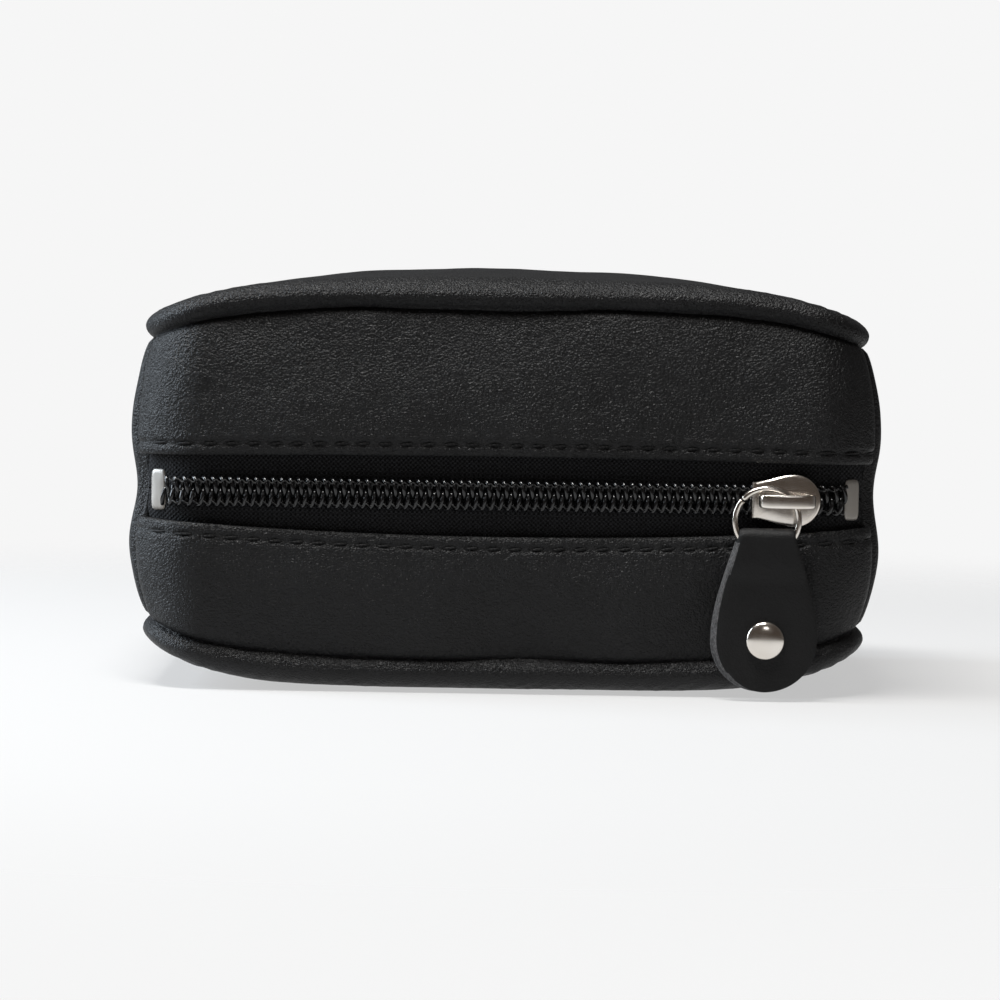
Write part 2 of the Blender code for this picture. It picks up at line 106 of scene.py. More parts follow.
# The pull tab
TAB_MIDDLE = (TAB_LOW + TAB_HIGH) / 2
TAB_LOBE = TAB_HIGH.x - TAB_MIDDLE.x  # radius of the round end
TAB_LOBE_Z = TAB_LOW.z + TAB_LOBE
TAB_NECK = 4.3  # half of the width at the ring
TAB_LEAF = 0.92
TAB_FOLD = (TAB_HIGH.y - TAB_LOW.y) / 2 - TAB_LEAF / 2  # radius of the fold, to the leather's middle
TAB_FOLD_Z = TAB_HIGH.z - TAB_LEAF / 2 - TAB_FOLD
TAB_GAP = 0.06  # half of the gap between the leaves


# Node materials


class Nodes:
    """A short way to write a node tree: each call adds a node and links what it is given."""

    def __init__(self, name):
        self.material = bpy.data.materials.new(name)
        self.material.use_nodes = True
        self.tree = self.material.node_tree
        self.shader = self.tree.nodes["Principled BSDF"]
        coords = self.tree.nodes.new("ShaderNodeTexCoord")
        self.place = coords.outputs["Object"]

    def add(self, kind, settings=None, **inputs):
        node = self.tree.nodes.new(kind)
        for key, value in (settings or {}).items():
            setattr(node, key, value)
        for key, value in inputs.items():
            self.give(node.inputs[key.replace("_", " ")], value)
        return node

    def give(self, socket, value):
        if isinstance(value, bpy.types.NodeSocket):
            self.tree.links.new(value, socket)
        else:
            socket.default_value = value

    def math(self, operation, first, second=0.0, third=0.0):
        node = self.tree.nodes.new("ShaderNodeMath")
        node.operation = operation
        for socket, value in zip(node.inputs, (first, second, third)):
            self.give(socket, value)
        return node.outputs[0]

    def noise(self, scale, detail=3.0, roughness=0.5, vector=None):
        made = self.add("ShaderNodeTexNoise", Scale=scale, Detail=detail, Roughness=roughness)
        self.tree.links.new(vector or self.place, made.inputs["Vector"])
        return made.outputs["Fac"]

    def cells(self, scale, feature="F1", vector=None):
        made = self.add("ShaderNodeTexVoronoi", {"feature": feature}, Scale=scale)
        self.tree.links.new(vector or self.place, made.inputs["Vector"])
        return made.outputs["Distance"]

    def ramp(self, value, stops):
        made = self.tree.nodes.new("ShaderNodeValToRGB")
        self.tree.links.new(value, made.inputs["Fac"])
        while len(made.color_ramp.elements) < len(stops):
            made.color_ramp.elements.new(0.5)
        for element, (at, colour) in zip(made.color_ramp.elements, stops):
            element.position = at
            element.color = (*colour, 1.0)
        return made.outputs["Color"]

    def spread(self, value, low, high):
        made = self.add("ShaderNodeMapRange", To_Min=low, To_Max=high)
        self.tree.links.new(value, made.inputs["Value"])
        return made.outputs["Result"]

    def bump(self, height, strength, distance, under=None):
        made = self.add("ShaderNodeBump", Strength=strength, Distance=distance)
        self.tree.links.new(height, made.inputs["Height"])
        if under is not None:
            self.tree.links.new(under, made.inputs["Normal"])
        return made.outputs["Normal"]

    def finish(self, **inputs):
        for key, value in inputs.items():
            self.give(self.shader.inputs[key.replace("_", " ")], value)
        return self.material


def leather_material(name, colour, pebble=2500.0, depth=0.00017, rough=(0.38, 0.52)):
    """Black cowhide: small rounded pebbles with creases between them, and a finer pore on top.

    pebble is their number along a metre and depth their height in metres.
    """
    n = Nodes(name)
    warp = n.noise(220.0, 2.0)
    shift = n.add("ShaderNodeVectorMath", {"operation": "MULTIPLY_ADD"})
    n.give(shift.inputs[0], warp)
    shift.inputs[1].default_value = (0.0006, 0.0006, 0.0006)
    n.give(shift.inputs[2], n.place)
    moved = shift.outputs[0]
    cells = n.cells(pebble, "SMOOTH_F1", moved)
    creases = n.cells(pebble * 1.1, "DISTANCE_TO_EDGE", moved)
    creases = n.math("MINIMUM", n.math("MULTIPLY", creases, 3.0), 1.0)
    patches = n.noise(60.0, 3.0)
    grain = n.math("SUBTRACT", 1.0, n.math("MULTIPLY", cells, 1.1))
    grain = n.math("MULTIPLY", grain, n.spread(patches, 0.85, 1.15))
    grain = n.math("ADD", grain, n.math("MULTIPLY", creases, 0.35))
    pores = n.noise(6000.0, 2.0, 0.6)
    fine = n.bump(pores, 0.25, depth * 0.25)
    normal = n.bump(grain, 1.0, depth, fine)
    dull = tuple(c * 0.72 for c in colour)
    worn = tuple(c * 1.5 for c in colour)
    shade = n.ramp(n.noise(38.0, 4.0, 0.6), [(0.3, dull), (0.55, colour), (0.8, worn)])
    gloss = n.spread(n.math("ADD", n.noise(90.0, 3.0), n.math("MULTIPLY", cells, 0.4)), *rough)
    return n.finish(Base_Color=shade, Roughness=gloss, Normal=normal, Specular_IOR_Level=0.27)


def cut_edge_material():
    """The raw cut side of the strap: fibrous and greyer than its face."""
    n = Nodes("cut_edge")
    stretched = n.add("ShaderNodeMapping", Vector=n.place)
    stretched.inputs["Scale"].default_value = (1.0, 6.0, 1.0)
    fibres = n.noise(2200.0, 4.0, 0.7, stretched.outputs["Vector"])
    shade = n.ramp(fibres, [(0.35, (0.02, 0.02, 0.021)), (0.7, (0.15, 0.15, 0.155))])
    return n.finish(Base_Color=shade, Roughness=0.85, Normal=n.bump(fibres, 0.8, 0.0002))


def weave_material(name, colour, pitch, rough=0.9, lift=1.0):
    """Plain-woven cloth: two crossed sets of yarns at a pitch in metres."""
    n = Nodes(name)
    split = n.add("ShaderNodeSeparateXYZ", Vector=n.place)
    turns = 2 * pi / pitch
    along = n.math("SINE", n.math("MULTIPLY", split.outputs["X"], turns))
    up = n.math("SINE", n.math("MULTIPLY", split.outputs["Z"], turns))
    deep = n.math("SINE", n.math("MULTIPLY", split.outputs["Y"], turns))
    cross = n.math("MULTIPLY", along, n.math("ADD", up, n.math("MULTIPLY", deep, 0.6)))
    fuzz = n.noise(5200.0, 3.0, 0.7)
    height = n.math("ADD", cross, n.math("MULTIPLY", fuzz, 1.2))
    # Painted shade and painted highlight: the colour follows the weave's height, darker in the hollows
    # between the yarns and lighter on their crowns.
    dark = tuple(c * 0.4 for c in colour)
    light = tuple(c * 1.8 for c in colour)
    shade = n.ramp(n.spread(height, 0.0, 1.0), [(0.2, dark), (0.95, light)])
    normal = n.bump(height, lift, pitch * 0.18)
    return n.finish(Base_Color=shade, Roughness=rough, Normal=normal, Specular_IOR_Level=0.2)


def nylon_material():
    """Glossy black nylon filament."""
    n = Nodes("coil_nylon")
    fine = n.noise(3500.0, 2.0)
    return n.finish(
        Base_Color=n.ramp(fine, [(0.3, (0.004, 0.004, 0.0045)), (0.8, (0.010, 0.010, 0.011))]),
        Roughness=n.spread(fine, 0.12, 0.22),
        Normal=n.bump(fine, 0.15, 0.00004),
    )


def thread_material(name, light):
    """Twisted sewing thread: fine slanting ridges."""
    n = Nodes(name)
    slant = n.add("ShaderNodeTexWave", {"bands_direction": "DIAGONAL"}, Scale=900.0, Distortion=1.0)
    n.give(slant.inputs["Vector"], n.place)
    twist = slant.outputs["Fac"]
    # Painted shade and painted highlight: the colour follows the twist, near black in the grooves and up to
    # the colour light on the ridges.
    shade = n.ramp(twist, [(0.1, (0.002, 0.002, 0.0025)), (0.9, (light, light, light))])
    normal = n.bump(twist, 0.7, 0.00008)
    return n.finish(Base_Color=shade, Roughness=0.6, Normal=normal, Specular_IOR_Level=0.2)


def nickel_material(name, rough, bright=1.0, metal=1.0):
    """Nickel plate with faint rub marks and a slightly uneven surface; less metal makes it greyer."""
    n = Nodes(name)
    marks = n.noise(900.0, 5.0, 0.65)
    waves = n.noise(140.0, 2.0)
    dark = tuple(c * bright for c in (0.66, 0.61, 0.55))
    light = tuple(c * bright for c in (0.80, 0.76, 0.71))
    shade = n.ramp(waves, [(0.3, dark), (0.7, light)])
    normal = n.bump(n.math("ADD", marks, n.math("MULTIPLY", waves, 3.0)), 0.08, 0.00006)
    return n.finish(Base_Color=shade, Metallic=metal, Roughness=n.spread(marks, *rough), Normal=normal)


# Mesh helpers: every point is in millimetres


def add_mesh(name, points, faces, material, body, replaced=()):
    """Makes a piece that rides a body and stands for the CAD nodes it replaces."""
    mesh = bpy.data.meshes.new(name)
    mesh.from_pydata([Vector(p) * MM for p in points], [], faces)
    work = bmesh.new()
    work.from_mesh(mesh)
    bmesh.ops.remove_doubles(work, verts=work.verts, dist=1e-7)
    bmesh.ops.recalc_face_normals(work, faces=work.faces)
    work.to_mesh(mesh)
    work.free()
    mesh.materials.append(material)
    mesh.shade_smooth()
    piece = bpy.data.objects.new(name, mesh)
    bpy.context.scene.collection.objects.link(piece)
    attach(piece, body)
    if replaced:
        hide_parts(*replaced)
    return piece


def grid_faces(rows, columns, closed_columns=False):
    """Quads over a grid of rows by columns, the rows wrapping round where asked."""
    faces = []
    for row in range(rows - 1):
        first = row * columns
        second = first + columns
        for column in range(columns if closed_columns else columns - 1):
            after = (column + 1) % columns
            faces.append((first + column, first + after, second + after, second + column))
    return faces


def rod_faces(rings, sides):
    """The faces of a stack of closed rings, with a cap at each end."""
    caps = [tuple(range(sides)), tuple(range((rings - 1) * sides, rings * sides))]
    return grid_faces(rings, sides, closed_columns=True) + caps


def circle(sides):
    """Angles round a full turn."""
    return [2 * pi * corner / sides for corner in range(sides)]


def smooth(part):
    """Eases a share between 0 and 1 at both of its ends."""
    part = min(max(part, 0.0), 1.0)
    return part * part * (3 - 2 * part)


def squared(value, power):
    """Draws a sine or cosine out towards 1 or -1, which makes a square out of a circle."""
    return (1 if value > 0 else -1) * abs(value) ** power


def gauss(value, width):
    """A bell of height 1 about 0."""
    return exp(-((value / width) ** 2))


def neighbours(path, index):
    """The points before and after one of a path's points, or the point itself at an end."""
    return Vector(path[max(index - 1, 0)]), Vector(path[min(index + 1, len(path) - 1)])


def tube(name, path, radius, material, body, replaced=(), sides=10):
    """A round rod along a path of points, with its section kept from twisting."""
    points = []
    start = (Vector(path[1]) - Vector(path[0])).normalized()
    side = Vector((0.0, 0.0, 1.0)) if abs(start.y) > 0.9 else Vector((0.0, 1.0, 0.0))
    for index, centre in enumerate(path):
        behind, ahead = neighbours(path, index)
        along = (ahead - behind).normalized()
        side = (side - along * side.dot(along)).normalized()
        other = along.cross(side)
        for angle in circle(sides):
            points.append(Vector(centre) + (side * cos(angle) + other * sin(angle)) * radius)
    return add_mesh(name, points, rod_faces(len(path), sides), material, body, replaced)


# The purse's outline, as in the CAD but finer


def stations(start_deg, end_deg, arc_steps=20, long_steps=70, short_steps=40):
    """Points round the outline as (core x, core y, normal angle), anticlockwise."""
    half_x = STRAIGHT
    half_y = HALF_Y - CORNER
    signs = {-2: (-1, -1), -1: (1, -1), 0: (1, 1), 1: (-1, 1), 2: (-1, -1)}  # corner of each quarter turn
    found = []
    quarter = int(start_deg // 90)
    angle = start_deg
    while angle < end_deg:
        sx, sy = signs[quarter]
        stop = min((quarter + 1) * 90.0, end_deg)
        for step in range(arc_steps + 1):
            found.append((sx * half_x, sy * half_y, radians(angle + (stop - angle) * step / arc_steps)))
        angle = stop
        if angle < end_deg:
            nx, ny = signs[quarter + 1]
            count = long_steps if nx != sx else short_steps
            for step in range(1, count):
                part = step / count
                x = half_x * (sx + (nx - sx) * part)
                y = half_y * (sy + (ny - sy) * part)
                found.append((x, y, radians(angle)))
        quarter += 1
    return found


def loop_stations():
    """The whole outline: stations() stops where the front's straight part begins, so that is added."""
    steps = 70
    front = [(STRAIGHT * (2 * step / steps - 1), CORNER - HALF_Y, radians(-90)) for step in range(1, steps)]
    return stations(-90.0, 270.0, long_steps=steps) + front


def place(station, out, z):
    """A point a distance outside the seams' outline; well inside it, the corners' centres close in."""
    x, y, angle = station
    least = 1.0
    reach = max(CORNER + out, least)
    closer = reach - CORNER - out
    x *= 1 - closer / STRAIGHT
    y *= 1 - closer / (HALF_Y - CORNER)
    return Vector((x + cos(angle) * reach, y + sin(angle) * reach + CENTRE_Y, z))


def droop(station, out=0.0):
    """How far the seams close in on each other; inside them it follows the smaller outline."""
    x = place(station, out, 0.0).x / (HALF_X + out)
    return DROOP * abs(x) ** 5


def base_seam(station, out=0.0):
    """Height of the seam round the base."""
    return BASE_SEAM + droop(station, out)


def top_seam(station, out=0.0):
    """Height of the seam round the top."""
    return TOP_SEAM - droop(station, out)


def soft(point, size, amount, seed=0.0):
    """A slow, even unevenness, the same on each run."""
    return noise.noise(Vector(point) / size + Vector((seed, seed * 0.7, seed * 1.3))) * amount


def wall_out(station, z):
    """How far the leather stands outside the seams at a height: two soft lobes with the zip between."""
    low = base_seam(station)
    part = min(max((z - low) / (top_seam(station) - low), 0.0), 1.0)
    spot = place(station, 0.0, z)
    more_at_ends = abs(spot.x / HALF_X) ** 6 * (1.05 - 0.25 * tanh((z - ZIP_Z) / 5.0))
    bulge = (BULGE + more_at_ends) * sin(pi * part) ** 0.55
    behind = (spot.y + 24.0) / 30.0  # the waist fades from 24 mm in front of the origin to 6 mm behind it
    waist = WAIST * gauss(z - ZIP_Z, 6.5) * (1 - smooth(behind))
    return bulge - waist + soft(spot, 17.0, 0.55) + soft(spot, 6.0, 0.14, 5.0)


def end_tuck(station, path):
    """How far a wall is drawn in near its upright side seams, with a small swelling beside each."""
    spot = place(station, 0.0, 0.0)
    near = min((spot - place(end, 0.0, 0.0)).length for end in (path[0], path[-1]))
    return 1.5 * gauss(near, 0.9) - 0.25 * gauss(near - 2.2, 1.2)


def mouth_half(station, side):
    """From the zip's centre line to a strip's edge: the lower edge sags away from the zip in its middle."""
    x = place(station, 0.0, 0.0).x
    if side > 0:
        return MOUTH_MIDDLE - 0.6 * (x / HALF_X) ** 2
    return MOUTH_MIDDLE + 0.3 - 2.2 * abs(x / HALF_X) ** 2.2


def wall(name, path, section, leather, replaced):
    """A leather wall along a path: section gives its closed outline as (depth, z) at a station."""
    points = []
    for station in path:
        tuck = end_tuck(station, path)
        for depth, z in section(station):
            points.append(place(station, wall_out(station, z) - depth - tuck, z))
    faces = rod_faces(len(path), len(points) // len(path))
    return add_mesh(name, points, faces, leather, "purse", replaced)


def distance_of(station):
    """How far along the front a station lies from its middle."""
    return station[0] + (station[2] + radians(90.0)) * CORNER


def strip_section(side):
    """The section of a zip strip: from its seam down to a cut edge at the mouth and back inside."""
    ease = 0.28
    bevel = 0.1

    def section(station):
        seam = top_seam(station) if side > 0 else base_seam(station)
        edge = ZIP_Z + side * mouth_half(station, side)
        line = edge + side * STITCH_IN
        sunk = 0.5 - 0.5 * cos(2 * pi * distance_of(station) / STITCH_PITCH)
        outline = []
        rows = 60
        for row in range(rows + 1):
            z = seam + (edge + side * ease - seam) * (row / rows) ** 0.75
            dip = (0.02 + 0.34 * sunk**0.7) * gauss(z - line, 0.42)
            puffed = gauss(z - edge - side * 0.8, 0.7) + sunk * gauss(z - line - side, 0.7)
            outline.append((dip - 0.12 * puffed, z))
        for step in range(1, 5):
            angle = pi / 2 * step / 4
            outline.append((ease - ease * cos(angle), edge + side * ease * (1 - sin(angle))))
        outline.append((LEATHER - bevel, edge))
        inner_edge = edge + side * bevel
        for row in range(7):
            outline.append((LEATHER, inner_edge + (seam - inner_edge) * row / 6))
        return outline

    return section


def gusset_section(station):
    """The section of the one-piece band round both ends and the back."""
    low = base_seam(station)
    high = top_seam(station)
    outer_rows = 56
    inner_rows = 10
    outline = [(0.0, high + (low - high) * row / outer_rows) for row in range(outer_rows + 1)]
    outline += [(LEATHER, low + (high - low) * row / inner_rows) for row in range(inner_rows + 1)]
    return outline


def crown(x, y, side):
    """The filled shape of a panel: highest in the middle of the top, flat where the base rests."""
    across = (y - CENTRE_Y) / HALF_Y
    if side > 0:
        return TOP_Z - 0.0016 * x * x - 1.2 * across * across
    flat_to = 0.62
    end_lift = 4.6
    return end_lift * max(abs(x) / HALF_X - flat_to, 0.0) ** 2 / 0.14 + 0.4 * max(abs(across) - 0.5, 0.0)


def rim_rise(inset):
    """Height above the seam of the rolled rim's upper side, a distance in from its outermost line."""
    roll_width = 8.0
    return 1.9 + 3.3 * sqrt(1 - (1 - min(inset / roll_width, 1.0)) ** 2.2)


def panel_rings():
    """A panel's rings, from inside its seam to its middle: distance out, rise, share of the crown, squeeze.

    The squeeze draws a ring's front and back together, so that the innermost one closes on a line.
    """
    tucked = [(-1.6, -0.9), (-0.9, -0.55), (-0.15, -0.1)]
    rim = [(0.55, 0.35), (1.0, 0.85), (1.25, 1.35), (RIM_OUT, 1.9)]
    rings = [(out, rise, 0.0, 1.0) for out, rise in tucked + rim]
    steps = 45
    for step in range(1, steps + 1):
        inset = 32.0 * (step / steps) ** 2.2
        rings.append((RIM_OUT - inset, rim_rise(inset), 1 - exp(-((inset / 9.0) ** 1.6)), 1.0))
    out, rise, share, _ = rings[-1]
    return rings + [(out, rise, share, squeeze) for squeeze in (0.66, 0.33, 0.0)]


def panel_point(station, ring, side, seam, depth):
    """A point of a panel, a depth inside its outer face, with slow unevenness and small folds at the rim."""
    out, rise, share, squeeze = ring
    flat = place(station, out, 0.0)
    flat.y = CENTRE_Y + (flat.y - CENTRE_Y) * squeeze
    edge = seam(station, min(out, 0.0)) + side * rise
    z = edge + (crown(flat.x, flat.y, side) - edge) * share
    puff = soft(flat, 17.0, 0.5, 9.0) + soft(flat, 6.0, 0.12, 3.0)
    z += side * puff * (share if side > 0 else share * (1 - share))
    fold = sin(flat.x * 1.7 + flat.y * 1.5 + soft(flat, 7.0, 4.0, 2.0))
    fold *= (0.10 + soft(flat, 11.0, 0.10, 4.0)) * gauss(out + 1.2, 1.8)
    roll = soft(flat, 12.0, 0.3, 7.0) * (1 - share)
    spot = place(station, out + roll + 0.3 * fold - depth, z + side * (fold - depth))
    spot.y = CENTRE_Y + (spot.y - CENTRE_Y) * squeeze
    spot.x *= 0.98 + 0.02 * squeeze  # keeps the last rings inside each other at their ends
    return spot


def panel(name, side, seam, material, replaced, depth=0.0, thick=0.9):
    """A pillow-edged panel, its rim rolled over the seam; side is 1 for the top and -1 for the base.

    One that hangs at a depth inside the leather has no rim, so it leaves out the rings under the rim.
    """
    path = loop_stations()
    rim_rings = 7
    rings = panel_rings()[rim_rings if depth else 0 :]
    layers = [(ring, depth + thick) for ring in reversed(rings)] + [(ring, depth) for ring in rings]
    points = [panel_point(station, ring, side, seam, inside) for ring, inside in layers for station in path]
    faces = grid_faces(len(layers), len(path), closed_columns=True)
    return add_mesh(name, points, faces, material, "purse", replaced)


def leather_body(leather):
    """The purse's five leather parts."""
    front = stations(-90.0 - SIDE_SEAM, -90.0 + SIDE_SEAM, arc_steps=28, long_steps=220)
    wall("leather_strip_upper", front, strip_section(1), leather, ["zip_strip_upper"])
    wall("leather_strip_lower", front, strip_section(-1), leather, ["zip_strip_lower"])
    back = stations(-90.0 + SIDE_SEAM + SEAM_GAP, 270.0 - SIDE_SEAM - SEAM_GAP, short_steps=50)
    wall("leather_gusset", back, gusset_section, leather, ["gusset"])
    panel("leather_top", 1, top_seam, leather, ["top_panel"])
    panel("leather_base", -1, base_seam, leather, ["bottom_panel"])


def lining(cloth):
    """The woven bag inside: its two panels follow the leather's, and the CAD's bands need only the cloth."""
    thick = 0.35
    panel("lining_cloth_top", 1, top_seam, cloth, ["lining_top"], 2.0, thick)
    panel("lining_cloth_base", -1, base_seam, cloth, ["lining_bottom"], 1.6, thick)
    for name in ("lining_gusset", "lining_front_upper", "lining_front_lower"):
        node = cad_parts[name]
        node.data.materials.clear()
        node.data.materials.append(cloth)


# Zip


def ride_line(distance, out, z):
    """A point on the front's outline, a signed distance along it from its middle, with its turn."""
    past = max(abs(distance) - STRAIGHT, 0.0) / CORNER
    side = 1 if distance > 0 else -1
    x = side * (min(abs(distance), STRAIGHT) + sin(past) * (CORNER + out))
    y = CENTRE_Y - (HALF_Y - CORNER) - cos(past) * (CORNER + out)
    return Vector((x, y, z)), side * past


def zip_out(y):
    """The offset that puts a layer at a depth y where the front is straight."""
    return CENTRE_Y - HALF_Y - y


def tapes(cloth):
    """Two tapes, each a thin band with a cord-like raised edge beside the coil."""
    path = stations(-90.0 - TAPE_ANGLE, -90.0 + TAPE_ANGLE, long_steps=90)
    rows = 14
    ridge_from_zip = 3.0
    for side, name in ((1, "upper"), (-1, "lower")):
        points = []
        for station in path:
            for back in (0, 1):
                for row in range(rows + 1):
                    step = rows - row if back else row
                    z = ZIP_Z + side * (TAPE_IN + TAPE_WIDTH * step / rows)
                    ridge = 0.25 * gauss(abs(z - ZIP_Z) - ridge_from_zip, 0.5)
                    lie = soft((station[0] + side * 50, 0, z), 7.0, 0.12)
                    out = zip_out(TAPE_Y) + (-TAPE_THICK if back else ridge) + lie
                    points.append(place(station, out, z))
        faces = rod_faces(len(path), 2 * (rows + 1))
        add_mesh("tape_" + name, points, faces, cloth, "purse", ["zip_tape_" + name])


def coils(nylon, thread):
    """Two nylon coils that mesh along the centre line: each is one wound filament, flattened."""
    wire = 0.34
    half_width = 1.30
    half_height = 0.64
    lean = 0.20
    from_centre_line = 0.94
    steps_per_turn = 14
    reach = STRAIGHT + radians(CHAIN_ANGLE) * CORNER
    turns = int(2 * reach / CHAIN_PITCH)
    middle_out = zip_out(TAPE_Y) + 0.95
    for side, name in ((1, "upper"), (-1, "lower")):
        path = []
        for index in range(turns * steps_per_turn + 1):
            turn = index / steps_per_turn
            angle = 2 * pi * turn
            across = from_centre_line + half_width * cos(angle)
            out = middle_out + half_height * sin(angle)
            distance = (turn - turns / 2 + side / 4) * CHAIN_PITCH + lean * sin(angle)
            path.append(ride_line(distance, out, ZIP_Z + side * across)[0])
        tube("coil_" + name, path, wire, nylon, "purse", ["zip_coil_" + name], sides=8)
        coil_thread(side, name, reach, middle_out, thread)


def coil_thread(side, name, reach, middle_out, thread):
    """The line of chain stitch that holds a coil to its tape."""
    short_of_end = 1.6
    over_coil = 0.80
    from_centre_line = 1.72
    reach -= short_of_end
    path = []
    steps = int(2 * reach / CHAIN_PITCH) * 8
    for index in range(steps + 1):
        distance = reach * (2 * index / steps - 1)
        angle = 2 * pi * distance / CHAIN_PITCH
        out = middle_out + over_coil + 0.15 * cos(angle)
        across = from_centre_line + 0.22 * sin(angle)
        path.append(ride_line(distance, out, ZIP_Z + side * across)[0])
    tube("coil_thread_" + name, path, 0.12, thread, "purse", sides=6)


def stitches(side, name, thread):
    """Lockstitches: each short length of thread rises from one needle hole and dips into the next."""
    reach = STRAIGHT + radians(62.0) * CORNER
    count = int(2 * reach / STITCH_PITCH)
    thread_radius = 0.23
    slant = 0.34
    deepest = 0.58
    rise = 0.44
    sides = 8
    rings = 9
    points = []
    faces = []
    for index in range(count):
        middle = (index - count // 2 + 0.5) * STITCH_PITCH
        jitter = soft((index * 3.7, side * 9.1, 0.0), 1.0, 0.12)
        start = len(points)
        for ring in range(rings):
            part = ring / (rings - 1)
            distance = middle + (part - 0.5) * STITCH_LENGTH
            station = spot_station(distance)
            edge = mouth_half(station, side)
            z = ZIP_Z + side * (edge + STITCH_IN) + (part - 0.5) * slant + jitter
            arch = sin(pi * part) ** 0.45
            centre, turn = ride_line(distance, wall_out(station, z) - deepest + rise * arch, z)
            thick = thread_radius * (0.5 + 0.5 * arch)
            normal = Vector((sin(turn), -cos(turn), 0.0))
            for angle in circle(sides):
                points.append(centre + (normal * cos(angle) + UP * sin(angle)) * thick)
        faces += [tuple(start + i for i in face) for face in rod_faces(rings, sides)]
    add_mesh("stitching_" + name, points, faces, thread, "purse", ["thread_" + name])


def spot_station(distance):
    """The outline's station at a signed distance along the front from its middle."""
    side = 1 if distance > 0 else -1
    past = max(abs(distance) - STRAIGHT, 0.0) / CORNER
    return (side * min(abs(distance), STRAIGHT), CORNER - HALF_Y, radians(-90.0) + side * past)


def stops(nickel):
    """Crimped end stops: a softly domed face over the chain, its corners eased, its edges turned back."""
    half_height = 3.3
    half_width = 1.45
    face = [(0.25, 0.0), (0.7, 0.02), (0.9, 0.1), (0.97, 0.22), (1.0, 0.42)]  # share of the way out, depth
    rings = face + [(1.0, 1.3), (0.9, 1.5), (0.2, 1.5)]
    corners = circle(40)
    for side, name in ((-1, "left"), (1, "right")):
        centre, turn = ride_line(side * (STRAIGHT + radians(STOP_ANGLE) * CORNER), 1.35, ZIP_Z)
        spin = Matrix.Rotation(turn * 0.75, 3, "Z")
        points = []
        for share, depth in rings:
            less = 0.5 * (1 - share)
            spread = min(share * 1.2, 1.0)
            for angle in corners:
                x = squared(cos(angle), 0.35) * (half_width - less) * spread
                z = squared(sin(angle), 0.35) * (half_height - less) * spread
                points.append(centre + spin @ Vector((x, depth, z)))
        faces = rod_faces(len(rings), len(corners))
        add_mesh("end_stop_" + name, points, faces, nickel, "purse", ["stop_" + name])


# Slider, ring and tab


def slider_outline():
    """A slider plate's outline about its middle: neck at the chain's side, round head at the other."""
    half = (SLIDER_HIGH.x - SLIDER_LOW.x) / 2
    head = (SLIDER_HIGH.z - SLIDER_LOW.z) / 2
    neck = 2.9
    head_x = half - head
    upper = []
    for step in range(15):
        part = step / 15
        upper.append((-half + (head_x + half) * part, neck + (head - neck) * smooth(part)))
    for step in range(17):
        angle = pi / 2 - pi / 2 * step / 16
        upper.append((head_x + head * cos(angle), head * sin(angle)))
    return upper + [(x, -z) for x, z in reversed(upper[:-1])]


def plate(name, near, far, nickel, flange):
    """A stamped plate: softly domed, with its edge turned towards the chain by a flange."""
    middle = (SLIDER_LOW + SLIDER_HIGH) / 2
    outline = slider_outline()
    toward = 1 if far > near else -1
    lip = far + toward * flange
    # Share of the way out from the middle and y: the domed face, its edge, the flange's lip and the far side
    rings = [(0.05, near), (0.5, near), (0.86, near + toward * 0.02), (0.95, near + toward * 0.10)]
    rings += [(0.99, near + toward * 0.26), (1.0, near + toward * 0.5), (1.0, lip)]
    rings += [(0.985, lip + toward * 0.12), (0.95, lip), (0.92, far), (0.05, far)]
    points = []
    for share, y in rings:
        points += [(middle.x + x * share, y, middle.z + z * share) for x, z in outline]
    piece = add_mesh(name, points, rod_faces(len(rings), len(outline)), nickel, "slider")
    piece.data.set_sharp_from_angle(angle=radians(24.0))
    return piece


def slider(nickel):
    """Two plates, the post that joins them at the head's side, and the arch for the ring."""
    gap_to_coil = 0.2
    front = plate("slider_front_plate", SLIDER_LOW.y, COIL_LOW.y - gap_to_coil, nickel, 0.55)
    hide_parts("slider_body")
    plate("slider_back_plate", SLIDER_HIGH.y, SLIDER_HIGH.y - 0.8, nickel, 0.0)
    post_x = (SLIDER_LOW.x + SLIDER_HIGH.x) / 2 + 2.4
    into_plate = 0.3
    ends = (SLIDER_LOW.y + into_plate, SLIDER_HIGH.y - into_plate)
    tube("slider_post", [(post_x, y, ZIP_Z) for y in ends], 0.45, nickel, "slider", sides=12)
    bridge(nickel)


def bridge(nickel):
    """The arch over the front plate: a flat band, slightly bowed, whose ends turn down into the plate."""
    thick = 0.85
    bow = 0.28
    corner_power = 0.32
    middle = (BRIDGE_LOW + BRIDGE_HIGH) / 2
    half_x = (BRIDGE_HIGH.x - BRIDGE_LOW.x) / 2
    half_z = (BRIDGE_HIGH.z - BRIDGE_LOW.z) / 2
    foot = SLIDER_LOW.y + 0.15
    reach = BRIDGE_LOW.y + thick / 2 + bow - foot
    steps = 28
    spine = []
    for index in range(steps + 1):
        angle = pi * index / steps
        x = squared(-cos(angle), corner_power) * (half_x - thick / 2)
        rise = sin(angle) ** corner_power
        y = foot + (reach - bow * (1 - (x / half_x) ** 2)) * rise
        spine.append(Vector((middle.x + x, y, middle.z)))
    section = [(squared(cos(angle), 0.45), squared(sin(angle), 0.45)) for angle in circle(20)]
    points = []
    for index, centre in enumerate(spine):
        behind, ahead = neighbours(spine, index)
        along = (ahead - behind).normalized()
        across = Vector((along.y, -along.x, 0.0)) * thick / 2
        up = UP * half_z * (0.86 + 0.14 * sin(pi * index / steps))
        points += [centre + across * u + up * v for u, v in section]
    faces = rod_faces(len(spine), len(section))
    add_mesh("slider_arch", points, faces, nickel, "slider", ["slider_bridge"])


